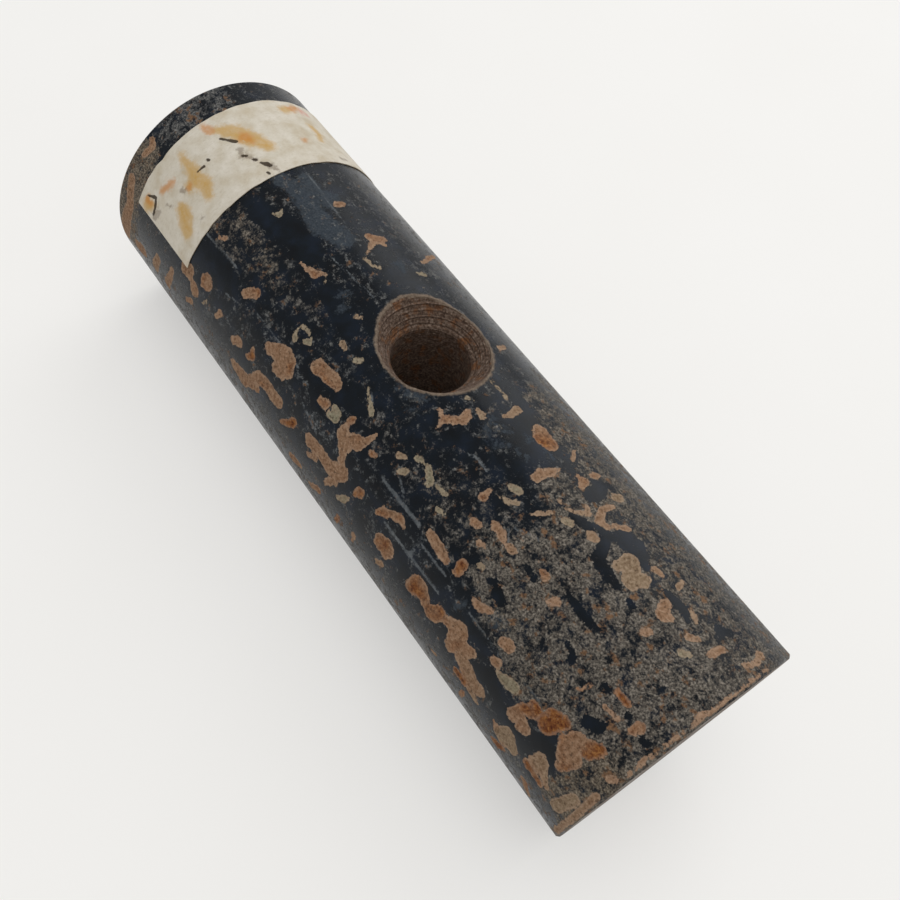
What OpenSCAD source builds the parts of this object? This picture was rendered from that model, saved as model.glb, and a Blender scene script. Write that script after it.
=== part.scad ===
// Head of a stonemason's hammer: a length of round steel bar, cut square at both
// ends, with a round eye drilled across its middle and a paper label gummed round
// one end. The origin is the centre of the eye. The bar lies along X, with the
// labelled end at -X, and the eye runs along Z.

/* [Bar] */
// Diameter of the round bar
bar_d = 50; // [36:1:80]
// Length of the bar from end face to end face
bar_l = 155; // [120:1:220]
// Size of the small bevel round the edge of each end face
edge_break = 0.5; // [0.2:0.1:2]

/* [Eye] */
// Diameter of the straight hole that grips the handle
eye_d = 15; // [8:0.5:19]
// Width of the flared mouth of the eye, measured along the bar
mouth_d = 23; // [20:0.5:28]
// Depth of the flare below the crown of the bar
mouth_depth = 5.7; // [3:0.1:9]

/* [Label] */
// Bare distance between the end face and the label
label_inset = 7.5; // [3:0.5:15]
// Width of the label along the bar
label_w = 21; // [10:0.5:26]
// Length of the label round the bar, measured on the bar's surface
label_len = 75; // [40:1:100]
// Angle down the flank, from the crown, at which the label starts
label_start = 69; // [40:1:85]
// Thickness of the paper
paper_t = 0.2; // [0.1:0.05:0.5]
// Thickness of the film of gum under the paper
gum_t = 0.1; // [0.05:0.05:0.3]

/* [Hidden] */
bar_r = bar_d / 2;
half_l = bar_l / 2;
eye_r = eye_d / 2;
// Height above the axis at which the flare meets the straight hole
rim_z = bar_r - mouth_depth;
// The flare widens by this much for each millimetre of height
flare = (mouth_d / 2 - eye_r) / mouth_depth;
// The cutter for the eye stands this far past the crown, so that it cuts clean
past_crown = 2;
cut_z = bar_r + past_crown;
cut_r = eye_r + flare * (cut_z - rim_z);
// Degrees of the bar's circumference that the label covers
label_turn = 360 * label_len / (PI * bar_d);
round_fn = 120;

// Turns a shape that stands along Z so that it lies along the bar
module along_bar() {
  rotate([0, 90, 0]) children();
}

// Solid bar with its two end edges broken
module bar() {
  along_bar()
    rotate_extrude($fn = round_fn)
      polygon([
        [0, -half_l],
        [bar_r - edge_break, -half_l],
        [bar_r, edge_break - half_l],
        [bar_r, half_l - edge_break],
        [bar_r - edge_break, half_l],
        [0, half_l]
      ]);
}

// Straight hole with a flared mouth at each side of the bar
module eye_cutter() {
  rotate_extrude($fn = round_fn)
    polygon([
      [0, -cut_z],
      [cut_r, -cut_z],
      [eye_r, -rim_z],
      [eye_r, rim_z],
      [cut_r, cut_z],
      [0, cut_z]
    ]);
}

// Band that covers the label's patch of the bar, from one radius out by a thickness
module label_band(inner_r, thickness) {
  translate([label_inset - half_l, 0, 0])
    along_bar()
      rotate([0, 0, 180 + label_start - label_turn])
        rotate_extrude(angle = label_turn, $fn = round_fn)
          translate([inner_r, 0])
            square([thickness, label_w]);
}

module hammer_head() {
  color([0.10, 0.11, 0.13])
    difference() {
      bar();
      eye_cutter();
    }
}

module label_gum() {
  color([0.68, 0.52, 0.26])
    label_band(bar_r, gum_t);
}

module paper_label() {
  color([0.80, 0.77, 0.71])
    label_band(bar_r + gum_t, paper_t);
}

hammer_head();
label_gum();
paper_label();
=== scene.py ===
import math

import bmesh
import bpy
import numpy as np
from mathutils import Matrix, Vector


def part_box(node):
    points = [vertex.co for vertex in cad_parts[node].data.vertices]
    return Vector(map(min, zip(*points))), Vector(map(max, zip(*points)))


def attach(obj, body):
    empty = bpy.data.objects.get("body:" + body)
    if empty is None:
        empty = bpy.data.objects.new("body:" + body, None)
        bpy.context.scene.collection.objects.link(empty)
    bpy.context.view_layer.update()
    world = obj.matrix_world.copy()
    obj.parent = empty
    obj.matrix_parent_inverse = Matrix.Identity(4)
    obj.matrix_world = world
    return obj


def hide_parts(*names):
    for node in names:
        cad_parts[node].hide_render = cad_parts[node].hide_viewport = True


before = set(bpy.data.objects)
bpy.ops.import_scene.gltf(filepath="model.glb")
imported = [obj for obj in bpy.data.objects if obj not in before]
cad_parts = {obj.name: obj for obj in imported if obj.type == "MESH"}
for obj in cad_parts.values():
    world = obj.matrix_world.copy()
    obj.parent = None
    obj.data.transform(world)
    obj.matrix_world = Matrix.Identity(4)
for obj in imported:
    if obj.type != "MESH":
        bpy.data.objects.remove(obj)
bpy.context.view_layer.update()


# Camera: it stands where the photograph was taken from, about 20 cm from the eye of the
# hammer, looking down at 56 degrees across the bar.
camera = bpy.data.objects.new("camera", bpy.data.cameras.new("camera"))
camera.data.lens = 38.956
camera.data.sensor_width = 36.0
camera.data.shift_x = 0.0382
camera.data.shift_y = 0.0294
camera.data.clip_start = 0.01
camera.location = (0.078853, -0.084944, 0.156138)
camera.rotation_euler = [math.radians(a) for a in (32.518, -8.740, 54.738)]
bpy.context.scene.collection.objects.link(camera)
bpy.context.scene.camera = camera
bpy.context.scene.view_settings.view_transform = "Standard"


# Studio: a pale world, one large soft lamp beyond the bar and another overhead, and a
# pale painted board for the bar to lie on.
WORLD_LIGHT, BACKDROP = 0.52, 0.93
LAMPS = [  # name, place, width in metres, watts, and whether it shows as glare
    ("window_lamp", (-0.42, 1.10, 0.98), 1.3, 6.6, True),
    ("overhead_lamp", (0.1, -0.1, 1.2), 1.4, 6.0, False),
]
FLOOR_REACH = 2.5
BOARD_GLOW = 0.5  # how much of the board's look is its own pale colour, beyond the lamps' reach
MIX_FACTOR, MIX_A, MIX_B = 0, 2, 3  # a Mix node's sockets for numbers
MIX_UNDER, MIX_TOP, MIX_COLOUR = 6, 7, 2  # a Mix node's sockets for colours, the last one out


def linear(code):
    """An sRGB hex colour as linear light."""
    parts = [int(code[i:i + 2], 16) / 255 for i in (1, 3, 5)]
    return (*(c / 12.92 if c <= 0.04045 else ((c + 0.055) / 1.055) ** 2.4 for c in parts), 1.0)


def add(tree, kind, inputs=None, stops=(), **settings):
    """Adds a node with its settings, the stops of its run of colours, its values and links."""
    made = tree.nodes.new(kind)
    for name, value in settings.items():
        setattr(made, name, value)
    if stops:
        run = made.color_ramp.elements
        while len(run) < len(stops):
            run.new(0.5)
        for element, (at, code) in zip(run, stops):
            element.position, element.color = at, linear(code)
    for name, value in (inputs or {}).items():
        if isinstance(value, bpy.types.Node):
            value = value.outputs[0]
        if isinstance(value, bpy.types.NodeSocket):
            tree.links.new(value, made.inputs[name])
        else:
            made.inputs[name].default_value = linear(value) if isinstance(value, str) else value
    return made


def new_piece(name, mesh):
    """Makes a finished bmesh an object in the scene."""
    mesh.normal_update()
    piece = bpy.data.objects.new(name, bpy.data.meshes.new(name))
    mesh.to_mesh(piece.data)
    mesh.free()
    bpy.context.scene.collection.objects.link(piece)
    return piece


world = bpy.data.worlds.new("studio")
bpy.context.scene.world = world
world.use_nodes = True
sky = world.node_tree
sky.nodes.clear()
to_camera = add(sky, "ShaderNodeLightPath").outputs["Is Camera Ray"]
seen = add(sky, "ShaderNodeMix", {MIX_FACTOR: to_camera, MIX_A: WORLD_LIGHT, MIX_B: BACKDROP})
air = add(sky, "ShaderNodeBackground", {"Color": "#ffffff", "Strength": seen})
add(sky, "ShaderNodeOutputWorld", {"Surface": air})

for name, place, size, watts, glare in LAMPS:
    lamp = bpy.data.objects.new(name, bpy.data.lights.new(name, "AREA"))
    lamp.data.shape = "DISK"
    lamp.data.size = size
    lamp.data.energy = watts
    lamp.location = place
    lamp.rotation_euler = (-lamp.location).to_track_quat("-Z", "Y").to_euler()
    lamp.visible_glossy = glare
    bpy.context.scene.collection.objects.link(lamp)

low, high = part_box("hammer_head")
sheet = bmesh.new()
bmesh.ops.create_grid(sheet, x_segments=1, y_segments=1, size=FLOOR_REACH)
bmesh.ops.translate(sheet, verts=sheet.verts, vec=(0, 0, low.z))
floor = new_piece("floor", sheet)

# Painted board: flat pale paint with a faint drift of tone, some 7 cm across. The camera
# and glossy rays see half of it as plain colour, and the other half keeps the shadow.
board = bpy.data.materials.new("pale painted board")
board.use_nodes = True
tree = board.node_tree
tree.nodes.clear()
spot = add(tree, "ShaderNodeTexCoord").outputs["Object"]
drift = add(tree, "ShaderNodeTexNoise", {"Vector": spot, "Scale": 14.0, "Detail": 3.0})
tone = add(tree, "ShaderNodeMix", {MIX_FACTOR: drift, MIX_UNDER: "#eeece7", MIX_TOP: "#f4f3f0"},
           data_type="RGBA").outputs[MIX_COLOUR]
paint = add(tree, "ShaderNodeBsdfPrincipled", {"Base Color": tone, "Roughness": 0.6})
rays = add(tree, "ShaderNodeLightPath").outputs
shown = add(tree, "ShaderNodeMath", {0: rays["Is Camera Ray"], 1: rays["Is Glossy Ray"]},
            operation="MAXIMUM")
glow = add(tree, "ShaderNodeMath", {0: shown, 1: BOARD_GLOW}, operation="MULTIPLY")
pale = add(tree, "ShaderNodeEmission", {"Color": "#f8f7f5"})
lit = add(tree, "ShaderNodeMixShader", {0: glow, 1: paint, 2: pale})
add(tree, "ShaderNodeOutputMaterial", {"Surface": lit})
floor.data.materials.append(board)


# Hammer head: one length of 50 mm round steel bar, sawn square at both ends and drilled
# across for the handle. It was brushed with black enamel, which has since chipped and
# rusted through in scabs.
MM = 0.001
bar_radius = high.z
half_length = high.x
skin_radius = bar_radius / MM
girth = 2 * math.pi * skin_radius
EYE_RADIUS = 7.5 * MM
RIM_HEIGHT = 19.3 * MM  # above the bar's middle, where each mouth of the eye starts to flare
FLARE = 0.7018  # how far the mouth widens for each mm of its height
EDGE_BREAK = 0.5 * MM
EDGE_BOW = (0.2 * MM, 0.15 * MM)  # the middle of the broken edge, which is bowed outwards
RINGS, STEPS, FACE_RINGS = 262, 272, 11
BORE_CUTS, MOUTH_CUTS, DRILL_STEPS = 44, 30, 120
FAR = 5.0  # mm, past which a field says no more


def line(points, cuts):
    """A bmesh with one line through the points, cut so many times between each two."""
    mesh = bmesh.new()
    last = mesh.verts.new(points[0])
    for a, b, n in zip(points, points[1:], cuts):
        for k in range(1, n + 2):
            here = mesh.verts.new([p + (q - p) * k / (n + 1) for p, q in zip(a, b)])
            mesh.edges.new((last, here))
            last = here
    return mesh


def turned(points, cuts, axis, steps):
    """Spins a profile full circle into a closed solid."""
    mesh = line(points, cuts)
    bmesh.ops.spin(mesh, geom=mesh.verts[:] + mesh.edges[:], axis=axis, cent=(0, 0, 0),
                   angle=2 * math.pi, steps=steps, use_merge=True)
    bmesh.ops.remove_doubles(mesh, verts=mesh.verts, dist=1e-7)
    bmesh.ops.recalc_face_normals(mesh, faces=mesh.faces)
    return mesh


rim = bar_radius - EDGE_BREAK
end = half_length - EDGE_BREAK
bow_x, bow_z = end + EDGE_BOW[0], bar_radius - EDGE_BOW[1]
bar_profile = [(-half_length, 0, 0), (-half_length, 0, rim), (-bow_x, 0, bow_z),
               (-end, 0, bar_radius), (end, 0, bar_radius),
               (bow_x, 0, bow_z), (half_length, 0, rim), (half_length, 0, 0)]
bar_cuts = [FACE_RINGS, 0, 0, RINGS, 0, 0, FACE_RINGS]
head = new_piece("hammer_head_steel", turned(bar_profile, bar_cuts, (1, 0, 0), STEPS))

# The drill takes the eye out of the bar. Its flutes left grooves, coarse in the flared
# mouths and faint in the straight bore, which are deep enough to see.
past = bar_radius + 2 * MM
wide = EYE_RADIUS + FLARE * (past - RIM_HEIGHT)
eye_profile = [(0, 0, -past), (wide, 0, -past), (EYE_RADIUS, 0, -RIM_HEIGHT),
               (EYE_RADIUS, 0, RIM_HEIGHT), (wide, 0, past), (0, 0, past)]
drill = turned(eye_profile, [0, MOUTH_CUTS, BORE_CUTS, MOUTH_CUTS, 0], (0, 0, 1), DRILL_STEPS)
GROOVE_PITCH, GROOVE_DEPTH = 0.95, 0.11
RIPPLE_DEPTH, MOUTH_RIPPLE, BORE_RIPPLE = 0.05, 3.1, 4.4  # mm, and radians to the mm
MOUTH_START, DRILL_TOP, DRILL_AXIS = 19, 26.9, 1 * MM
for v in drill.verts:
    depth = abs(v.co.z) / MM
    out = math.hypot(v.co.x, v.co.y)
    if depth < DRILL_TOP and out > DRILL_AXIS:
        if depth > MOUTH_START:
            groove = (GROOVE_DEPTH * math.sin(2 * math.pi * depth / GROOVE_PITCH)
                      + RIPPLE_DEPTH * math.sin(depth * MOUTH_RIPPLE))
        else:
            groove = RIPPLE_DEPTH * math.sin(depth * BORE_RIPPLE)
        v.co.x *= 1 + groove * MM / out
        v.co.y *= 1 + groove * MM / out
drill = new_piece("drill", drill)
cut = head.modifiers.new("eye", "BOOLEAN")
cut.operation = "DIFFERENCE"
cut.solver = "EXACT"
cut.object = drill
bpy.context.view_layer.update()
drilled_head = head.evaluated_get(bpy.context.evaluated_depsgraph_get())
finished = bpy.data.meshes.new_from_object(drilled_head)
head.modifiers.clear()
head.data = finished
bpy.data.objects.remove(drill)

# Where the enamel has gone. Each row is one scab: how orange it is, from khaki 0 to
# red-orange 1, and the stroke that it follows, in mm along the bar, degrees round it from
# the crown, and mm of half width.
SCABS = [
    (.45, [(-49.9, -70.3, 1.5), (-48.3, -69.8, 1.7)]), (.6, [(-46.6, -72, .8), (-45, -74.5, 1.5)]),
    (.8, [(-47.5, -85.5, .5), (-45.4, -82, .8)]),
    (.6, [(-42.9, -65.1, 1.75), (-42.4, -64.9, 1.75)]),
    (.2, [(-41.7, -75.5, .3), (-40.5, -72.5, .4)]), (.45, [(-36.7, -72.8, .6), (-35.7, -69.4, .8)]),
    (.62, [(-32.8, -51.7, 1.0), (-31.9, -50, 1.15), (-30.8, -47.7, 1.1)]),
    (.55, [(-29.8, -73, 1.0), (-28.2, -70.8, 1.1)]),
    (.1, [(-41.8, -19.8, .3), (-40.5, -18.3, .5), (-41.3, -15.8, .2)]),
    (.55, [(-46.0, -45.2, .4), (-44.8, -43.5, .6)]), (.6, [(-37.4, 7, .8), (-37.0, 9.2, .9)]),
    (.5, [(-28, -84.5, 1.2), (-24.5, -85, 2.1), (-21.5, -82, 1.2), (-19.3, -80.5, .8)]),
    (.5, [(-22, -79.5, .9), (-20, -74.8, 1.5), (-17.8, -72.8, 1.3), (-15, -73.8, 1.55),
        (-12.8, -73.2, 1.3)]),
    (.75, [(-24.6, -72.2, .7), (-23.6, -69.4, .9), (-24.2, -66.2, .5)]),
    (.5, [(-20.9, -58.9, 1.2), (-18, -56, 2.0), (-15.4, -57.2, 2.0), (-14.2, -58.6, 1.3)]),
    (.55, [(-17.2, -62.6, 1.1), (-15.2, -61.2, 1.3)]),
    (.45, [(-17, -52.6, 1.0), (-14.9, -53.7, 1.0)]),
    (.15, [(-17.6, -46.3, .6), (-18.7, -43.5, .35), (-18, -40, .35), (-16, -39.2, .4)]),
    (.1, [(-16, -44, .5), (-14.7, -42.2, .6), (-15, -40.3, .35)]),
    (.62, [(-9.9, -45.8, 1.6), (-8, -44.7, 1.3), (-5.7, -44, 1.55), (-4.3, -44.3, 1.0)]),
    (.3, [(-10.1, -31.6, .5), (-8.8, -32.2, .6)]), (.1, [(-5.6, -31.6, .6), (-4.8, -29.8, .55)]),
    (.3, [(-12.6, -20, .5), (-11.8, -18.7, .4)]),
    (.55, [(-28.8, -24.3, .25), (-26.5, -23.3, .65), (-25, -22.3, .85), (-23.8, -19.2, .35)]),
    (.1, [(-23.4, -18.8, .12), (-22.1, -22, .12)]),
    (.95, [(-10.6, -80.5, .5), (-8.8, -77, .9), (-7.5, -73.4, 1.05)]),
    (.75, [(-5.0, -54, .85), (-3.7, -53.4, 1.1)]),
    (.05, [(-1.8, -54.6, .8), (-.3, -53.6, .9), (-.4, -50.8, .7), (-2, -50.9, .5)]),
    (.55, [(-27.4, 9.2, .9), (-26.4, 11, 1.1), (-25.9, 14.8, .8)]),
    (.4, [(-26, 9.2, .7), (-24.6, 5.6, .5), (-23.6, 2, .35)]),
    (.5, [(-25.3, 12.2, .7), (-24.2, 13.4, .4)]),
    (.2, [(-22.6, -.5, .4), (-20.4, .5, .35), (-19.4, 2.6, .4)]),
    (.5, [(-18.7, 26, .5), (-20.6, 35, .6), (-22, 43, .4)]),
    (.1, [(-15.8, 17, .4), (-15.4, 20.5, .6)]),
    (.5, [(-2.3, -71.8, 1.5), (1.5, -70.8, 1.35), (4, -71.8, 1.5), (6, -70.6, 2.0),
        (7.6, -67.8, 1.6)]),
    (.5, [(-1.4, -78.6, .6), (.4, -75.8, .9)]),
    (.45, [(5, -80.6, .6), (5.9, -77.5, .8), (6.8, -74.5, 1.0)]),
    (.45, [(6.1, -65, .9), (5.3, -61, .95), (4.5, -57.6, 1.8), (2.7, -54.8, 1.3)]),
    (.5, [(5, -54, 1.2), (6.2, -52.6, 1.5), (7.2, -49.6, .9), (7.8, -46, .6), (8.0, -43.8, .4)]),
    (.8, [(2.1, -50.6, .5), (2.6, -48, .75)]), (.75, [(12.1, -68.6, .8), (12.7, -66.2, 1.1)]),
    (.2, [(8.8, -80, .4), (10.3, -77, .9), (11.3, -73.8, .4)]),
    (.7, [(9.7, -50.1, .6), (10.7, -49.2, .35)]), (.3, [(13.7, -41.6, .7), (14.7, -40, .6)]),
    (.2, [(16, -45.6, .6), (16.8, -43.6, .7)]),
    (.05, [(.2, -34.6, .3), (3, -38, .45), (4.6, -40.4, .45)]),
    (.1, [(16.2, -37, .4), (17, -35.6, .4)]), (.6, [(11.7, -17.8, .4), (13, -18.4, .5)]),
    (.6, [(14.3, -23.4, .25), (13.8, -20, .5), (14.3, -17.5, .85), (15.2, -15.4, .8),
        (16, -13.2, .9), (15.5, -10.6, .9), (14.9, -8.8, .45)]),
    (.1, [(12.6, -5.8, .45), (13.6, -4.2, .2)]), (.3, [(15.6, -5.4, .45), (17.2, -5.8, .7)]),
    (.35, [(18.9, 9.3, .9), (19.2, 6.6, .8), (19.4, 3.6, .6), (19.1, 1.2, .3)]),
    (.2, [(11.5, 8.4, .3), (13.6, 9, .4), (16.6, 8.6, .3)]), (.4, [(5.3, 27, .6), (4.8, 31.5, .5)]),
    (.5, [(21.7, -74, 1.8), (23.2, -73, 2.0), (23.4, -76, 1.2)]),
    (.4, [(22.5, -85, .6), (23.8, -82.6, .8)]),
    (.68, [(31.3, -75, 1.5), (32.3, -71.4, 2.2), (34.5, -72.2, 1.3), (35.2, -75, .8)]),
    (.7, [(35.9, -74.4, 1.2), (37.3, -74.3, 1.6), (38.4, -70.6, 1.5)]),
    (.6, [(17.8, -64.5, .7), (18.8, -62, 1.0), (20.3, -59.8, .85), (21.9, -57.6, .9),
        (23.6, -58.6, .35)]),
    (.5, [(27.8, -51, .9), (29.5, -51.6, 1.0), (31.8, -52.2, 1.1), (33.3, -52.4, .6)]),
    (.78, [(35.2, -53, .35), (36, -51.2, 1.0), (35.7, -48.6, 1.1)]),
    (.1, [(16.3, -36.6, .6), (17.4, -35.8, .4)]),
    (.12, [(19, -35.4, .5), (21.2, -38, .85), (21.3, -39.6, .5)]),
    (.1, [(22.6, -37, .4), (25, -36.4, .4)]), (.1, [(25.6, -42.6, .5), (27, -41.6, .4)]),
    (.55, [(29.2, -25.8, .85), (28.9, -23, .6)]), (.6, [(31.2, -34.8, .7), (32.6, -33.8, .6)]),
    (.5, [(34.1, -29.2, .7), (36, -29.1, .85), (37.4, -30, .6)]),
    (.5, [(34.6, -38, .5), (36, -36.8, .5)]),
    (.25, [(30.4, -21, .25), (32.2, -19.7, .5), (33.6, -17, .5)]),
    (.15, [(30.6, -15, .7), (32, -14, .8)]), (.2, [(37.5, -43.4, .5), (38.3, -42.6, .5)]),
    (.7, [(24.4, 10.8, 1.45), (25.8, 9.8, 1.75), (27.5, 10.4, 1.45)]),
    (.45, [(31.6, -4.8, 1.0), (31.5, -2, 1.1), (32, 1.5, .8), (32.3, 5.5, .4)]),
    (.4, [(31.6, 14.4, .45), (30.3, 19, .3)]),
    (.62, [(36.8, 8.5, .7), (36.2, 11.8, .9), (34.9, 10.6, .5)]),
    (.45, [(36, 17, .7), (36, 19.4, .7)]),
    (.35, [(36.4, -16, .35), (37.4, -12, .5), (38, -9.4, .3)]),
    (.5, [(39.8, -70.5, .8), (41.5, -68.7, 1.4), (43, -67.6, 2.0), (43.6, -72, 2.1),
        (43.4, -77.4, 1.3)]),
    (.55, [(45.8, -71.5, 1.7), (47.3, -68.8, .9)]),
    (.4, [(46.4, -76, 1.7), (48.5, -77.6, 1.8), (50.5, -80.6, 2.0), (52.2, -79, 1.4),
        (53, -77.6, .5)]),
    (.35, [(51, -84.5, 1.0), (53, -86.4, .5)]), (.85, [(47, -84.6, 1.0), (49.5, -85, .8)]),
    (.8, [(49.6, -97, .6), (50, -91, .6)]), (.6, [(40.6, -92.5, .5), (42, -91.5, .4)]),
    (.5, [(50.7, -62.3, .95), (51.3, -61.8, .95)]),
    (.15, [(52.6, -64.6, .6), (54, -64, 1.0), (56, -62.6, 1.2)]),
    (.55, [(41.2, -53.6, .5), (42.6, -53.2, .9), (44, -51.5, .7), (44.8, -49.9, .35)]),
    (.6, [(49.5, -54, 1.0), (50.7, -53.4, 1.2)]), (.75, [(44.8, -26.3, .5), (46.2, -26.2, .8)]),
    (.5, [(49.6, -31, .6), (50.2, -28.8, .8)]), (.4, [(38.7, -30, .7), (39.6, -29.6, .6)]),
    (.3, [(51.3, -2.5, .9), (51.7, 3, 1.5), (53, 1.5, 1.5), (54.5, -2, 1.6), (55.4, 2, 1.3)]),
    (.42, [(45, 5.2, .65), (43.3, 4.2, .85), (42.2, 8.4, .7), (42.3, 13.8, .6)]),
    (.4, [(45.4, 7.4, .6), (46.2, 10.2, .5), (46.9, 12.4, .7)]),
    (.35, [(44.7, -3, .9), (45.4, -2.4, .9)]), (.2, [(40.3, -7.2, .7), (41.2, -6.2, .7)]),
    (.3, [(41.1, 19.2, 1.0), (41.5, 21.2, .9)]),
    (.35, [(36.8, -3.6, .3), (39, -3.4, .3), (40.3, -1, .45), (41.4, 2.6, .5), (40, 4.6, .35)]),
    (.4, [(54.8, 9.4, .7), (56.2, 10.4, .5)]), (.35, [(59.3, 12, .5), (58.8, 16, .5)]),
    (.5, [(60.4, 2.4, 1.1), (61.4, -1.2, 1.2), (62.8, .2, .5)]),
    (.55, [(58.9, -71, 1.4), (58.9, -67, 1.0)]), (.6, [(61.2, -70.4, 1.7), (60.6, -69, 1.2)]),
    (.75, [(59.4, -64.6, 1.0), (61, -62.3, 1.2)]), (1.0, [(59.7, -60.2, .8), (61.2, -59.6, .7)]),
    (.9, [(63.6, -60.6, 1.8), (64.5, -57.6, 1.3), (65.4, -54.2, 1.0)]),
    (.9, [(62.8, -56, .9), (64.8, -52.8, .7)]),
    (.62, [(69, -63, 1.7), (68.2, -58.5, 1.9), (68.6, -55, 1.8)]),
    (.85, [(70.4, -52.6, 1.7), (71.6, -49.6, 1.1)]), (.62, [(69.6, -67.4, 1.0), (70.4, -60, 1.3)]),
    (.35, [(66.9, -77, 1.7), (67, -73.6, 1.5), (68.4, -76.4, 1.0), (70.6, -81, .7)]),
    (.75, [(65.9, -82, 1.1), (69.4, -83.4, .8)]),
    (.3, [(59.8, -86, 2.0), (60.5, -81, 1.6), (62.4, -85, 1.4)]),
    (.95, [(57.5, -86, .35), (57.2, -83, .35)]), (.8, [(59.6, -95.4, 1.2), (61.4, -92, .7)]),
    (.7, [(67.4, -94, .9), (69.4, -103, .6)]), (.8, [(66.4, -31.8, .5), (68.8, -31.6, .7)]),
    (.5, [(67, -38.4, .4), (69.6, -37.8, .5)]), (.75, [(72.1, -36.4, .7), (72.6, -33.4, 1.0)]),
    (.85, [(62.6, -42.5, .35), (63.4, -38, .4)]), (.5, [(75.4, -53.6, .7), (76.2, -51.6, .5)]),
    (.55, [(76.4, -40.6, .4), (76.5, -38.8, .4)]), (.5, [(76.2, -14.4, .45), (76.6, -12.4, .45)]),
    (.5, [(61.8, -11.6, .7), (62.3, -9.6, .7)]), (.15, [(67.6, -5.2, .7), (68.6, -3.8, .6)]),
    (.4, [(66.3, 1, .6), (67.4, 3.6, .5)]), (.5, [(70.3, 2.6, .5), (70.6, 8.4, .8)]),
    (.35, [(63.3, 9.8, .5), (65, 8.2, .45)]),
    (.4, [(74.4, 12, .5), (75.2, 17, .6), (74.6, 23, .7)]),
    (.45, [(-75.6, -100, 1.6), (-74, -88, 2.0), (-72.6, -76, 1.5), (-74.6, -64, 1.3)]),
    (.6, [(-69, -95, 1.6), (-66.6, -93, 1.6)]), (.4, [(-61, -92, 1.3), (-59.6, -84, 1.1)]),
    (.45, [(-55.6, -92, 1.2), (-54, -84, 1.0), (-53.6, -78.6, .6)]),
    (.5, [(-74.6, -50, .8), (-74, -44, .8), (-75.6, -42, .7)]),
    (.6, [(-5.6, -93, 1.2), (-3, -91, .9)]), (.6, [(1, -95, .8), (3.6, -90, 1.0)]),
    (.7, [(10, -95, .7), (10.6, -90, .7)]), (.6, [(15.4, -93, .5), (15.6, -87, .6)]),
    (.4, [(76.4, -100, .7), (76.6, -80, .6), (76.3, -62, .7)]),
    (.3, [(73.6, -84, 1.2), (74.6, -72, 1.2)]),
    (.45, [(76.7, -48, .3), (76.8, -20, .35), (76.8, 20, .3)]),
]
# Clean, still glossy islands of enamel inside the worn ground, as strokes.
ISLANDS = [
    [(39, 8.5, 1.2), (39, 13, 1.5), (38.2, 17.6, 1.0)], [(36.8, 15, .5), (38, 15.6, .9)],
    [(40.6, -3.6, .7), (43, -1.6, .9), (44.6, 1.8, .7), (46.3, 1.2, .9), (47.5, -2.2, 1.0),
        (48.6, -7, 1.1), (51.4, -7.8, 1.1), (53.6, -8, .7), (54.6, -7, .3)],
    [(46.8, 4, 1.0), (48.2, 7.8, 2.0), (50, 9.6, 1.8), (51.8, 9.2, 1.0), (54, 6.6, .6)],
    [(50.4, -24, .4), (53.5, -24.6, .7), (57.6, -24, .6)],
    [(56.4, -35, .5), (57.8, -35.6, .5), (58.7, -37.6, .7)],
    [(58.8, 6.2, .5), (61.5, 7, .9), (64, 6, .6)], [(56.8, -8, .6), (57.6, -8.2, .6)],
    [(67.2, -47, 1.0), (69, -43.6, .9)], [(64.8, -34.6, .8), (65.4, -34, .5)],
    [(70, -34.2, .6), (70.6, -33.8, .4)], [(74, -35.4, .5), (75, -34.8, .5)],
    [(56, -76, 1.0), (60, -76, .9), (63.6, -76.6, .9), (64.8, -75, .6)],
    [(62.8, -70.5, .8), (66, -68.6, 1.7), (68, -70.2, 1.0)], [(65.2, -64, .7), (66.1, -60.6, .45)],
    [(49.6, -72, 1.1), (52, -69, 1.8), (55, -70.6, 1.4)], [(43, -44, 1.0), (44.6, -45, .7)],
    [(41.4, -42, .6), (40.6, -43.6, .5)], [(54.4, 17, .5), (54.8, 18.6, .5)],
    [(43, -29.4, .5), (45.4, -30, .5)], [(68, 14, .9), (69.4, 17.4, .8)],
    [(-47, -57, 2.6), (-41, -55, 2.6), (-37, -55, 2.4)],
    [(-44, -24.5, 2.2), (-36, -19, 2.6), (-29, -18, 2.2)], [(-20.5, -23, 1.8), (-11, -26, 1.6)],
    [(18, 12.8, 1.5), (24, 3, 1.5), (27.5, 3.5, 1.3), (28, -8, 1.1)],
    [(-3, -46, 1.5), (2, -43, 1.3)], [(-17, 6, 2), (-13.5, 12, 1.4)],
    [(42.5, -62, 1.2), (47, -62.5, 1.0)], [(25.8, -70, 1.4), (28.6, -73, 1.4)],
    [(17, -21, 1.2), (20.6, -17, 1.2)],
]
# Long scratches and wear lines, nearly along the bar, through to grey primer.
SCRATCHES = [
    [(20, -65, .18), (28, -65, .22), (36, -64.3, .22)], [(27.6, -64, .3), (27.6, -61, .2)],
    [(14.5, -53.2, .24), (20, -52.8, .28), (25.5, -52.6, .3)], [(28, -57, .12), (35, -56.8, .12)],
    [(42, -58.6, .12), (52, -59, .1)], [(56, -57.6, .12), (60, -57, .12)],
    [(-30, -53.6, .1), (-13, -53, .12)], [(-49, -49, .1), (-38, -47.6, .14)],
    [(-36.8, -60, .14), (-33.6, -58, .1)], [(1.6, -35, .2), (4.6, -40.6, .22)],
    [(17, -47, .12), (19.6, -50, .12)], [(36, -26, .1), (38, -29, .1)],
    [(36.6, -24, .1), (40.6, -19.6, .1)], [(21.6, -20, .12), (23, -18.2, .16), (26, -18.4, .12)],
    [(-49.5, 6, .08), (-30, 3, .1)], [(-26, -12, .08), (-14, -9, .1)],
    [(-8, -62, .1), (-2, -66, .1)],
]
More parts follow.
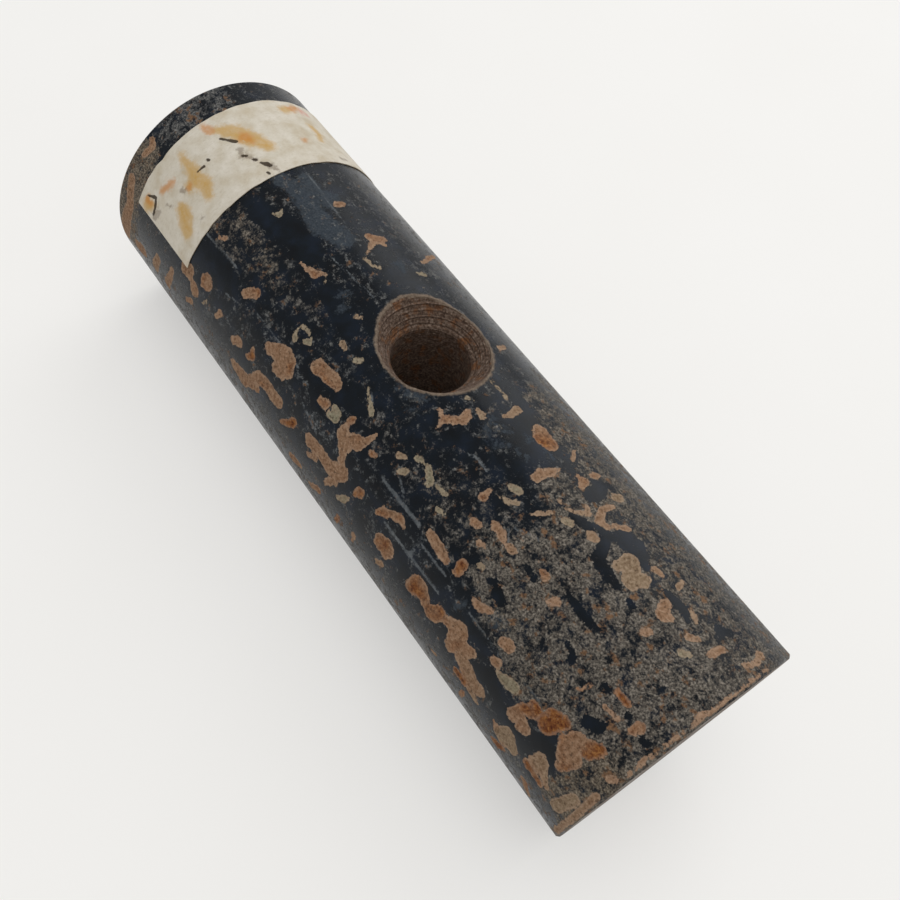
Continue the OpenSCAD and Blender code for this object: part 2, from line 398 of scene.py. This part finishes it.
# Slate-blue scuffed areas, where the gloss has gone but the enamel is still there.
SCUFFS = [
    [(-46, 2.6, 1.4), (-38, 4.4, 1.5)], [(-40.6, 5, 1.4), (-39, 9, 1.1)],
    [(-49, -7, 1.5), (-42, -4, 2.0), (-34, -6, 2.6), (-29, -2, 2.4)],
    [(-19, 12, 1.0), (-17, 11.6, .6)], [(6, -23.4, .7), (7, -21.6, .6), (8.4, -19.6, .6)],
    [(8.4, -27, .35), (9.6, -25, .35)], [(3.8, -26.2, .3), (4.2, -24.6, .4)],
    [(-18.2, -19.8, .5), (-17.6, -16.8, .5)], [(-15.6, -21, .5), (-15.8, -25, .4)],
    [(18.8, -7.6, .6), (19.2, -7.2, .5)], [(18.4, -3.4, .5), (20.6, -3.6, .6)],
    [(20, -9.3, .3), (23.4, -9.6, .25)], [(23, -7, .5), (24, -5.4, .4)],
    [(24.8, 3.4, .7), (25, 4.6, .5)], [(21.4, -3, .5), (22.4, -1.8, .4)],
    [(26, -4, .2), (28, -2.6, .3)], [(27.8, 6.4, .3), (30, 6.8, .3)],
    [(40, -60.6, .8), (40.4, -58.4, .6)], [(46, -51, 1.0), (47.4, -50, .8)],
]
# Where fine rust specks have broken through: their share of the skin, how grey they are,
# from khaki 0 to grey 1, and a stroke.
SPECKS = [
    (.55, .3, [(-47, -38, 4.0), (-40, -38, 3.6), (-33, -36, 3.2), (-29, -37, 2.6)]),
    (.5, .5, [(-27, -38, 1.6), (-22, -35.6, 1.2), (-17.4, -29, 1.8), (-16, -24, 1.4)]),
    (.3, .7, [(-47, -19, 3.0), (-44, -17, 1.6)]), (.35, .9, [(-38, -72, 3.0), (-28, -68, 2.6)]),
    (.32, .9, [(-27, -60, 2.0), (-12, -57, 2.4), (-6, -60, 2.6)]),
    (.35, .8, [(-12, -38, 1.8), (-6, -36, 1.4)]), (.5, .9, [(-4, -64, 2.2), (4, -63, 2.0)]),
    (.35, .9, [(10, -58, 3.0), (15, -55, 2.6)]),
    (.45, .6, [(7, -42, 2.0), (14, -41, 2.6), (18, -40, 2.6)]),
    (.5, .4, [(22, -38, 2.6), (30, -38, 4.0), (38, -42, 5.0)]),
    (.45, .5, [(25, -26, 2.0), (31, -24, 4.0)]), (.4, .5, [(16, 4, 2.0), (20, -2, 2.0)]),
    (.35, .8, [(-34, -2, 4.0), (-24, -4, 3.0), (-14, -6, 2.0)]),
    (.3, .8, [(-46, 12, 3.0), (-20, 14, 3.0)]), (.75, .35, [(34, 0, 3.0), (46, -4, 9.0)]),
    (.8, .35, [(44, -36, 9.0), (74, -36, 12.0)]), (.8, .35, [(52, 2, 12.0), (76, 0, 14.0)]),
    (.7, .3, [(18, 24, 3.6), (30, 24, 5.0), (46, 26, 8.0), (76, 26, 9.0)]),
    (.7, .45, [(14, 44, 4.0), (76, 48, 9.0)]), (.68, .7, [(-74, -30, 4.0), (-74, -8, 4.0)]),
    (.95, .1, [(-74, -90, 5.0), (-74, -52, 4.4)]), (.75, .3, [(54, -63, 2.6), (56, -60, 2.6)]),
    (.8, .1, [(74, -95, 6.0), (75, -55, 3.6)]),
    (.5, .6, [(-60, -95, 6.0), (20, -98, 5.0), (70, -98, 6.0)]),
    (.3, .9, [(20, -62, 4.0), (40, -60, 4.0)]), (.4, .7, [(-40, 34, 5.0), (-8, 38, 6.0)]),
    (.4, .5, [(27, -45, 3.0), (34, -45, 3.0)]),
]
BASE_SPECKS, BASE_GREY = 0.3, 0.75  # over the whole skin


def measured(piece):
    """A piece's vertices in mm, and how far along and round the bar each one lies."""
    points = np.empty(len(piece.data.vertices) * 3)
    piece.data.vertices.foreach_get("co", points)
    points = points.reshape(-1, 3) / MM
    return points, points[:, 0], np.arctan2(points[:, 1], points[:, 2]) * skin_radius


def reach(strokes, along, arc):
    """Yields how many mm each vertex lies outside each stroke, below 0 inside it."""
    for stroke in strokes:
        best = np.full(len(along), 1e3)
        for (x0, t0, r0), (x1, t1, r1) in zip(stroke, stroke[1:]):
            run = np.array([x1 - x0, math.radians(t1 - t0) * skin_radius])
            dx = along - x0
            da = (arc - math.radians(t0) * skin_radius + girth / 2) % girth - girth / 2
            t = np.clip((dx * run[0] + da * run[1]) / max(run @ run, 1e-6), 0, 1)
            gap = np.hypot(dx - t * run[0], da - t * run[1]) - (r0 + t * (r1 - r0))
            best = np.minimum(best, gap)
        yield best


def nearest(strokes, along, arc):
    """How many mm each vertex lies outside the nearest stroke."""
    return np.minimum.reduce([np.full(len(along), FAR), *reach(strokes, along, arc)])


def keep(piece, name, field):
    """Keeps a field on a piece's vertices, for its material to read."""
    kept = piece.data.attributes.new(name, "FLOAT", "POINT")
    kept.data.foreach_set("value", np.clip(field, -FAR, FAR).astype(np.float32))


# The far side, which the photograph doesn't show, has scabs and specks of the same kinds
# and sizes, laid by a seeded draw.
FAR_FROM, FAR_TO = 60, 247
FAR_SCABS, FAR_SPECKS = 150, 26
draw = np.random.default_rng(7)
for n in range(FAR_SCABS):
    x, t = draw.uniform(-75, 75), draw.uniform(FAR_FROM, FAR_TO - 1)
    size = draw.choice([.5, .8, 1.3, 1.9], p=[.4, .3, .2, .1])
    stroke = [(x, t, size)]
    for k in range(draw.integers(1, 4)):
        x, t = x + draw.normal(0, 1.5 * size), t + draw.normal(0, 3.0 * size)
        stroke.append((x, t, size * draw.uniform(.5, 1.1)))
    if FAR_FROM < min(p[1] for p in stroke) and max(p[1] for p in stroke) < FAR_TO:
        SCABS.append((float(draw.uniform(.1, .8)), stroke))
for n in range(FAR_SPECKS):
    x, t, size = draw.uniform(-72, 72), draw.uniform(75, 235), draw.uniform(3, 8)
    share, grey = float(draw.uniform(.35, .8)), float(draw.uniform(.1, .9))
    SPECKS.append((share, grey, [(x, t, size),
                                 (x + draw.uniform(5, 20), t + draw.uniform(-8, 8), size)]))

points, along, arc = measured(head)
round_bar = np.hypot(points[:, 1], points[:, 2])
eye_edge = EYE_RADIUS / MM + FLARE * (np.abs(points[:, 2]) - RIM_HEIGHT / MM)
mouth = np.hypot(along, points[:, 1]) - eye_edge

COLOUR_BLEND = 0.5  # mm, over which the colours of neighbouring scabs run together
rust = np.full(len(along), FAR)
redness = np.zeros(len(along))
weight = np.full(len(along), 1e-6)
for (orange, _), away in zip(SCABS, reach([stroke for _, stroke in SCABS], along, arc)):
    rust = np.minimum(rust, away)
    pull = np.exp(-np.clip(away, -1, 8) / COLOUR_BLEND)
    redness += pull * orange
    weight += pull

SPECK_FADE = 3.0  # mm, over which an area of specks thins out at its edge
specks = np.full(len(along), BASE_SPECKS)
greys = np.full(len(along), BASE_SPECKS * BASE_GREY)
areas = reach([stroke for _, _, stroke in SPECKS], along, arc)
for (share, grey, _), away in zip(SPECKS, areas):
    fade = np.clip(0.5 - away / SPECK_FADE, 0, 1)
    fade = fade * fade * (3 - 2 * fade)
    greys = greys * (1 - fade) + share * grey * fade
    specks = specks * (1 - fade) + share * fade

keep(head, "rust", rust)
keep(head, "redness", redness / weight)
keep(head, "specks", specks)
keep(head, "greys", greys / specks)
keep(head, "mouth", mouth)
for name, strokes in (("island", ISLANDS), ("scratch", SCRATCHES), ("scuff", SCUFFS)):
    keep(head, name, nearest(strokes, along, arc))

# Rust lies lower than the enamel round it, with a raised rim just inside each scab, and is
# pitted. The bar is nowhere thicker than it was, and its ends and eye stay true.
SCAB_DEPTH, SCAB_RIM, RIM_INSET, RIM_WIDTH = 0.09, 0.05, 0.35, 0.25
PITTING, DEEPEST = 0.012, 0.16
SKIN_MARGIN, END_MARGIN, MOUTH_MARGIN = 0.03, 0.6, 0.35
on_skin = ((round_bar > skin_radius - SKIN_MARGIN) & (mouth > MOUTH_MARGIN)
           & (np.abs(along) < half_length / MM - END_MARGIN))
lumps = draw.normal(0, 1, len(along))
raised = SCAB_RIM * np.exp(-((rust + RIM_INSET) / RIM_WIDTH) ** 2)
sink = np.where(rust < 0, SCAB_DEPTH - raised + PITTING * lumps, 0.0)
sink = np.clip(sink + PITTING * specks * np.abs(lumps), 0, DEEPEST) * on_skin
for axis in (1, 2):
    points[:, axis] *= 1 - sink / np.maximum(round_bar, 1)
head.data.vertices.foreach_set("co", (points * MM).ravel())
head.data.update()


def material(name, noises, runs, masks):
    """Starts a material on coordinates in mm, with its noises, runs of colour and masks.

    A noise is its lumps to the mm, detail, roughness and offset. A run of colours is the
    noise that it follows and its stops. A mask is the field or noise that it is cut from,
    the values where it is 0 and 1, and the noises that break up its edge by so much.
    """
    made = bpy.data.materials.new(name)
    made.use_nodes = True
    tree = made.node_tree
    tree.nodes.clear()
    spot = add(tree, "ShaderNodeTexCoord").outputs["Object"]
    mm = add(tree, "ShaderNodeVectorMath", {0: spot, "Scale": 1 / MM}, operation="SCALE")
    noise = {}
    for key, (per_mm, detail, rough, offset) in noises.items():
        moved = add(tree, "ShaderNodeVectorMath",
                    {0: mm, 1: (offset, offset * 1.7, offset * 0.3)}, operation="ADD")
        noise[key] = add(tree, "ShaderNodeTexNoise",
                         {"Vector": moved, "Scale": per_mm, "Detail": detail,
                          "Roughness": rough}).outputs["Fac"]
    tint = {key: add(tree, "ShaderNodeValToRGB", {"Fac": noise[followed]}, stops=stops)
            for key, (followed, stops) in runs.items()}
    mask = {}
    for key, (source, empty, full, *strays) in masks.items():
        edge = noise.get(source)
        if edge is None:
            edge = add(tree, "ShaderNodeAttribute", attribute_name=source).outputs["Fac"]
        for stray, amount in strays:
            swing = add(tree, "ShaderNodeMath", {0: noise[stray], 1: 0.5}, operation="SUBTRACT")
            edge = add(tree, "ShaderNodeMath", {0: swing, 1: amount, 2: edge},
                       operation="MULTIPLY_ADD")
        mask[key] = add(tree, "ShaderNodeMapRange",
                        {"Value": edge, "From Min": empty, "From Max": full},
                        interpolation_type="SMOOTHSTEP")
    return made, tree, mm, noise, tint, mask


def coats(tree, colour, *layers):
    """Lays coats over a colour, each with its strength, its mask and its own colour."""
    for strength, where, top in layers:
        share = add(tree, "ShaderNodeMath", {0: where, 1: strength}, operation="MULTIPLY")
        colour = add(tree, "ShaderNodeMix",
                     {MIX_FACTOR: share, MIX_UNDER: colour, MIX_TOP: top},
                     data_type="RGBA").outputs[MIX_COLOUR]
    return colour


def surface(tree, heights, unit, strength, shading):
    """Ends a material with its relief, a sum of patterns times heights, and its shader."""
    height = 0.0
    for pattern, rise in heights:
        height = add(tree, "ShaderNodeMath", {0: pattern, 1: rise, 2: height},
                     operation="MULTIPLY_ADD")
    relief = add(tree, "ShaderNodeBump",
                 {"Height": height, "Distance": unit, "Strength": strength})
    shader = add(tree, "ShaderNodeBsdfPrincipled", {**shading, "Normal": relief})
    add(tree, "ShaderNodeOutputMaterial", {"Surface": shader})


# Black gloss enamel on mild steel, brushed on and chipped: hard and shiny where sound,
# slate and dull where scuffed, tan to red-orange rust where it has gone. The finest grain
# is drawn 0.4 mm wide, two pixels of the photograph, as finer rust wouldn't show.
enamel, tree, _, noise, tint, mask = material(
    "chipped black enamel on steel",
    {"coarse": (0.85, 4.0, 0.62, 0.0), "fine": (2.6, 4.0, 0.7, 11.0),
     "dust": (1.0, 6.0, 0.8, 31.0), "blotch": (0.28, 3.0, 0.5, 53.0),
     "patch": (0.42, 3.0, 0.6, 43.0), "warmth": (0.55, 3.0, 0.6, 71.0),
     "mottle": (1.7, 5.0, 0.75, 91.0), "pitting": (2.1, 3.0, 0.6, 131.0)},
    {"sound": ("blotch", [(0.3, "#070b10"), (0.5, "#0a1118"), (0.7, "#101925")]),
     "slate": ("fine", [(0.35, "#2e363f"), (0.65, "#59626a")]),
     "brown speck": ("fine", [(0.34, "#241d18"), (0.45, "#51463a"), (0.56, "#7f7361"),
                              (0.7, "#ab9a86")]),
     "grey speck": ("fine", [(0.34, "#22262a"), (0.5, "#52575a"), (0.66, "#8a8e90")]),
     "warm speck": ("fine", [(0.3, "#4a3626"), (0.6, "#86664b")]),
     "primer": ("coarse", [(0.3, "#4c5256"), (0.7, "#84888a")]),
     "khaki": ("mottle", [(0.3, "#4f4638"), (0.45, "#77705c"), (0.6, "#908a75"),
                          (0.75, "#a59c88")]),
     "tan": ("mottle", [(0.3, "#4d3426"), (0.42, "#7c5d45"), (0.55, "#93755c"),
                        (0.72, "#b09279")]),
     "fire": ("mottle", [(0.3, "#2c1109"), (0.42, "#5c3019"), (0.56, "#85552d"),
                         (0.74, "#ae7f4a")]),
     # The pale grey-brown ring round the eye's mouth is partly rust and wear on the rim and partly
     # a painted highlight on its edge.
     "rim_wear_and_highlight": ("mottle", [(0.3, "#5b4b3d"), (0.6, "#8c7c6c"), (0.75, "#a89a8a")])},
    {"scab": ("rust", 0.07, -0.07, ("coarse", 1.3), ("fine", 0.5)),
     "scab rim": ("rust", -0.55, -0.08, ("coarse", 1.3), ("fine", 0.5)),
     "dulled": ("scuff", 0.35, -0.5, ("dust", 6.5)),
     "island": ("island", 0.25, -0.15, ("fine", 1.4)),
     "scraped": ("scratch", 0.2, -0.02, ("fine", 1.1)),
     "tan": ("redness", 0.05, 0.5),
     "fire": ("redness", 0.5, 0.95, ("blotch", 1.2)),
     # This mask runs along the mouth's rim, where rim wear and a painted highlight are laid on
     # together.
     "rim_wear_and_highlight": ("mouth", 0.75, 0.15, ("coarse", 1.6)),
     "warm": ("warmth", 0.56, 0.66),
     "pits": ("pitting", 0.42, 0.34)})
read = {name: add(tree, "ShaderNodeAttribute", attribute_name=name).outputs["Fac"]
        for name in ("specks", "greys")}
# Specks come through where the dust rises over a level, lower where more of them are wanted.
SPECK_LEVEL, SPECK_DROP, PATCHINESS, ISLAND_RISE = 0.68, -0.30, -0.55, 0.22
level = add(tree, "ShaderNodeMath", {0: read["specks"], 1: SPECK_DROP, 2: SPECK_LEVEL},
            operation="MULTIPLY_ADD")
patchy = add(tree, "ShaderNodeMath", {0: noise["patch"], 1: 0.5}, operation="SUBTRACT")
for pattern, amount in ((patchy, PATCHINESS), (mask["island"], ISLAND_RISE)):
    level = add(tree, "ShaderNodeMath", {0: pattern, 1: amount, 2: level},
                operation="MULTIPLY_ADD")
above = add(tree, "ShaderNodeMath", {0: noise["dust"], 1: level}, operation="SUBTRACT")
speck = add(tree, "ShaderNodeMapRange", {"Value": above, "From Min": -0.05, "From Max": 0.09},
            interpolation_type="SMOOTHSTEP")
crust = add(tree, "ShaderNodeMath", {0: mask["scab rim"], 1: mask["scab"]},
            operation="MULTIPLY")
flecks = coats(tree, tint["brown speck"], (1.0, read["greys"], tint["grey speck"]),
               (1.0, mask["warm"], tint["warm speck"]))
worn = coats(tree, tint["sound"], (0.46, mask["dulled"], tint["slate"]),
             (0.86, speck, flecks), (0.55, mask["scraped"], tint["primer"]))
bloom = coats(tree, tint["khaki"], (1.0, mask["tan"], tint["tan"]),
              (1.0, mask["fire"], tint["fire"]), (0.3, crust, "#b59c86"),
              (0.7, mask["pits"], "#3b2a20"))
# Over the enamel goes the ring round the eye's mouth: worn, rusty rim and painted highlight in one
# coat.
skin = coats(tree, worn, (1.0, mask["scab"], bloom), (0.85, mask["rim_wear_and_highlight"], tint["rim_wear_and_highlight"]))
SPECK_DULLNESS, SCUFF_DULLNESS = 0.8, 0.6
SHINY, MATT = 0.27, 0.82
gone = add(tree, "ShaderNodeMath", {0: speck, 1: SPECK_DULLNESS}, operation="MULTIPLY")
for other in (mask["scab"], mask["rim_wear_and_highlight"]):
    gone = add(tree, "ShaderNodeMath", {0: gone, 1: other}, operation="MAXIMUM")
dull = add(tree, "ShaderNodeMath", {0: mask["dulled"], 1: SCUFF_DULLNESS},
           operation="MULTIPLY")
dull = add(tree, "ShaderNodeMath", {0: gone, 1: dull}, operation="MAXIMUM")
gloss = add(tree, "ShaderNodeMapRange", {"Value": dull, "To Min": SHINY, "To Max": MATT})
bare_lumps = add(tree, "ShaderNodeMath", {0: noise["mottle"], 1: gone}, operation="MULTIPLY")
surface(tree, [(bare_lumps, 0.22), (gone, -0.07), (crust, 0.05), (noise["dust"], 0.03)],
        1 * MM, 0.85, {"Base Color": skin, "Roughness": gloss, "Specular IOR Level": 0.18})

# Drilled steel, never painted and long rusted: dark brown, with turned grooves every half
# a millimetre that catch the light.
drilled, tree, mm, noise, tint, mask = material(
    "rusted drilled steel",
    {"fine": (1.9, 5.0, 0.72, 5.0), "broad": (0.45, 3.0, 0.6, 17.0)},
    {"brown": ("fine", [(0.3, "#2a1a12"), (0.45, "#503c2e"), (0.6, "#7d6a5c"),
                        (0.75, "#a79685")]),
     "orange": ("fine", [(0.3, "#2c1609"), (0.6, "#7c5230")])},
    {"orange": ("broad", 0.52, 0.66)})
ridge = add(tree, "ShaderNodeTexWave", {"Vector": mm, "Scale": 0.62, "Distortion": 1.2,
                                        "Detail": 2.0}, bands_direction="Z").outputs["Fac"]
trough = add(tree, "ShaderNodeMapRange", {"Value": ridge, "From Min": 0.55, "From Max": 0.2},
             interpolation_type="SMOOTHSTEP")
bore = coats(tree, tint["brown"], (1.0, mask["orange"], tint["orange"]),
             (0.35, trough, "#241912"))
surface(tree, [(noise["fine"], 0.2), (ridge, 0.06)], 1 * MM, 0.9,
        {"Base Color": bore, "Roughness": 0.8})

# Bare steel, sawn and then struck: brown patina with brighter bruises, over saw marks a
# millimetre apart.
struck, tree, mm, noise, tint, mask = material(
    "worn bare steel face",
    {"fine": (1.6, 5.0, 0.7, 23.0), "broad": (0.16, 4.0, 0.6, 41.0)},
    {"patina": ("fine", [(0.3, "#3b3029"), (0.5, "#6a5a4d"), (0.7, "#8d7f72")]),
     "bruise": ("fine", [(0.3, "#6b6763"), (0.7, "#a09c97")])},
    {"bruise": ("broad", 0.5, 0.62)})
sawn = add(tree, "ShaderNodeTexWave", {"Vector": mm, "Scale": 0.3, "Distortion": 2.5,
                                       "Detail": 2.0}, bands_direction="Y").outputs["Fac"]
face = coats(tree, tint["patina"], (1.0, mask["bruise"], tint["bruise"]))
rubbed = add(tree, "ShaderNodeMapRange",
             {"Value": mask["bruise"], "To Min": 0.75, "To Max": 0.42})
surface(tree, [(noise["fine"], 0.12), (sawn, 0.03)], 1 * MM, 0.8,
        {"Base Color": face, "Roughness": rubbed, "Metallic": mask["bruise"]})

ON_SKIN, IN_EYE, ON_FACE = range(3)
for made in (enamel, drilled, struck):
    head.data.materials.append(made)
for side in head.data.polygons:
    middle = side.center
    if abs(middle.x) > half_length - 0.01 * MM:
        side.material_index = ON_FACE
    elif math.hypot(middle.y, middle.z) < bar_radius - 0.3 * MM and abs(middle.x) < 13 * MM:
        side.material_index = IN_EYE
head.data.shade_smooth()
head.data.set_sharp_from_angle(angle=math.radians(35))
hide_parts("hammer_head")
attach(head, "root")


# Gum: the thin film of brown glue under the label, brushed round the bar's far end and
# long dried. Little more than its rim shows, as a thin line at the label's edges.
LABEL_LOW, LABEL_HIGH = -70 * MM, -49.3 * MM
LABEL_FROM, LABEL_TURN = -68.8, 171.9  # degrees from the crown, and degrees round the bar
WANDER_FROM, WANDER_STEP = -80, 4  # degrees at which the edges change course
LOW_WANDER, HIGH_WANDER = 0.09, 0.05  # mm that each edge strays
SKEW_CENTRE, LOW_SKEW, HIGH_SKEW = -15, 0.007, 0.9  # degrees, mm askew a degree, its share


def strip(name, radius, thickness, steps, cuts):
    """A thin strip wrapped round the bar, with uneven edges, as a closed solid."""
    start = math.radians(LABEL_FROM)
    y, z = radius * math.sin(start), radius * math.cos(start)
    mesh = line([(LABEL_LOW, y, z), (LABEL_HIGH, y, z)], [cuts])
    bmesh.ops.spin(mesh, geom=mesh.verts[:] + mesh.edges[:], axis=(1, 0, 0), cent=(0, 0, 0),
                   angle=-math.radians(LABEL_TURN), steps=steps)
    # Both edges wander by a seeded draw, and the strip runs a little askew.
    wander = np.random.default_rng(3).normal(0, 1, (2, 64))
    for v in mesh.verts:
        t = math.degrees(math.atan2(v.co.y, v.co.z))
        across = (v.co.x - LABEL_LOW) / (LABEL_HIGH - LABEL_LOW)
        k = (t - WANDER_FROM) / WANDER_STEP
        i, f = int(k), k - int(k)
        low_edge, high_edge = wander[:, i] * (1 - f) + wander[:, i + 1] * f
        slope = -(t - SKEW_CENTRE) * LOW_SKEW
        shift = ((1 - across) * (low_edge * LOW_WANDER + slope)
                 + across * (high_edge * HIGH_WANDER + slope * HIGH_SKEW))
        v.co.x += shift * MM
    bmesh.ops.recalc_face_normals(mesh, faces=mesh.faces)
    first = mesh.faces[0]
    outward = first.calc_center_median()
    if first.normal.y * outward.y + first.normal.z * outward.z < 0:
        bmesh.ops.reverse_faces(mesh, faces=mesh.faces)
    bmesh.ops.solidify(mesh, geom=mesh.faces[:], thickness=thickness)
    bmesh.ops.recalc_face_normals(mesh, faces=mesh.faces)
    piece = new_piece(name, mesh)
    piece.data.shade_smooth()
    piece.data.set_sharp_from_angle(angle=math.radians(40))
    return piece


gum = strip("gum_film", bar_radius + 0.07 * MM, 0.05 * MM, 170, 20)

# Plant gum, dried: amber brown and half glossy, with a fine uneven grain.
dried, tree, _, noise, tint, _ = material(
    "dried brown gum", {"fine": (1.5, 4.0, 0.6, 3.0)},
    {"amber": ("fine", [(0.3, "#5d4526"), (0.55, "#8f7040"), (0.75, "#b3945c")])}, {})
surface(tree, [(noise["fine"], 1.0)], 0.1 * MM, 0.7,
        {"Base Color": tint["amber"], "Roughness": 0.5})
gum.data.materials.append(dried)
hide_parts("label_gum")
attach(gum, "root")


# Paper label: a strip of thin rag paper, 21 mm wide, cut by hand and stuck round the bar
# on the gum. It is worn and smudged, and the gum has soaked through it in stains.
label = strip("paper_strip", bar_radius + 0.22 * MM, 0.12 * MM, 230, 66)
# Its stains and tears, as strokes in the same mm and degrees.
STAINS = {
    "ochre": [
        [(-66.6, -36, .6), (-62.5, -36, 1.3), (-59, -37, 1.9), (-57, -35.5, 1.6),
            (-54.5, -37, 1.0)],
        [(-60, -41, .9), (-58.6, -42, .6)],
        [(-66, -15, 1.2), (-63, -9, 2.0), (-60.5, -6, 2.0), (-57, -1.5, 1.5)],
        [(-57.6, -51, 1.5), (-55.4, -53, 2.0), (-53.2, -56, 1.5)],
        [(-67, 20.6, 1.0), (-67.4, 24, 1.0)], [(-62, 31, .8), (-59.4, 31, .9), (-57, 28.6, .5)],
        [(-66.6, -64.6, 1.6), (-65, -63, .8)],
    ],
    "orange": [
        [(-64.8, -54, .6), (-64.2, -50.4, .9), (-63.8, -46.6, .6)],
        [(-69, -20, .6), (-67.2, -19, 1.1)], [(-61.4, -8, 1.2), (-60, -6.4, .8)],
        [(-67.8, 27, 1.0), (-68.6, 31.4, .8)], [(-56.4, 18, .5), (-57.2, 19, .3)],
        [(-67.4, -63, .8), (-66, -63, .6)], [(-59.3, -42.4, .5), (-59.8, -41, .3)],
    ],
    "torn": [
        [(-67.8, -61.6, .12), (-65.2, -58.6, .34)],
        [(-65.2, -59, .3), (-64.3, -62, .34), (-64.0, -66, .3)],
        [(-60.7, -34.6, .16), (-60.6, -31, .28)], [(-61.4, -27.7, .24), (-61, -27.4, .2)],
        [(-64, -17.6, .12), (-62.6, -15, .3), (-61.3, -12.6, .4)],
        [(-53.6, -9.6, .3), (-52.7, -8, .55), (-52, -7, .3)],
        [(-50.6, -10.1, .28), (-50.2, -9.9, .3)], [(-57.2, -13.9, .4), (-56.8, -13, .3)],
        [(-55.2, -11.4, .3), (-54.8, -10.6, .25)],
    ],
    "grubby": [
        [(-63.6, -67, .7), (-63, -63, .8)], [(-59, -13.4, .5), (-57, -14, .7), (-55, -11, .5)],
        [(-52, -7, .5), (-50.2, -5.6, .6)], [(-60.6, -46, .5), (-59.4, -45, .3)],
        [(-51.6, 33, .5), (-51.4, 36, .4)], [(-52.2, -46.4, .4), (-52, -45, .3)],
        [(-60.4, -55, .3), (-61.6, -56, .2)],
    ],
    "pinkish": [
        [(-68.4, 35, .6), (-66.8, 32.6, .6)], [(-67.6, 37, .5), (-66.6, 36, .5)],
    ],
}
_, along, arc = measured(label)
for name, strokes in STAINS.items():
    keep(label, name, nearest(strokes, along, arc))

# Uncoated rag paper, yellowed: soft and matt, faintly mottled, with soaked-in gum. Its
# fibres are drawn 0.2 mm wide, far coarser than real ones, so that they show.
SOAKED = [("ochre", "#bd9447", 0.85), ("orange", "#bf7d34", 0.8),
          ("pinkish", "#c98274", 0.6), ("grubby", "#807263", 0.75)]
paper, tree, mm, noise, tint, mask = material(
    "yellowed rag paper",
    {"broad": (0.3, 4.0, 0.6, 3.0), "cloud": (0.7, 5.0, 0.7, 19.0)},
    {"paper": ("broad", [(0.3, "#beb29c"), (0.5, "#cbc3b3"), (0.7, "#d5cec1")])},
    {"ochre": ("ochre", 0.9, -0.9, ("cloud", 3.6)),
     "orange": ("orange", 0.7, -0.7, ("cloud", 3.6)),
     "pinkish": ("pinkish", 0.6, -0.6, ("cloud", 3.6)),
     "grubby": ("grubby", 0.35, -0.35, ("cloud", 3.6)),
     "torn": ("torn", 0.14, -0.06, ("cloud", 0.9))})
laid = add(tree, "ShaderNodeMapping", {"Vector": mm, "Scale": (3.2, 1.1, 1.1)})
fibre = add(tree, "ShaderNodeTexNoise", {"Vector": laid, "Scale": 1.3, "Detail": 4.0})
fibre = add(tree, "ShaderNodeMapRange", {"Value": fibre, "From Min": 0.52, "From Max": 0.7},
            interpolation_type="SMOOTHSTEP")
leaf = coats(tree, tint["paper"], (0.3, fibre, "#ab9f8a"))
thin = add(tree, "ShaderNodeMapRange",
           {"Value": noise["cloud"], "From Min": 0.3, "From Max": 0.6, "To Min": 0.65})
for name, code, strength in SOAKED:
    soak = add(tree, "ShaderNodeMath", {0: thin, 1: strength}, operation="MULTIPLY")
    soak = add(tree, "ShaderNodeMath", {0: mask[name], 1: soak}, operation="MULTIPLY")
    leaf = coats(tree, leaf, (1.0, soak, code))
leaf = coats(tree, leaf, (0.92, mask["torn"], "#2e2113"))
surface(tree, [(noise["cloud"], 0.16), (mask["torn"], -0.1)], 1 * MM, 0.7,
        {"Base Color": leaf, "Roughness": 0.85, "Specular IOR Level": 0.3})
label.data.materials.append(paper)
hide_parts("paper_label")
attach(label, "root")
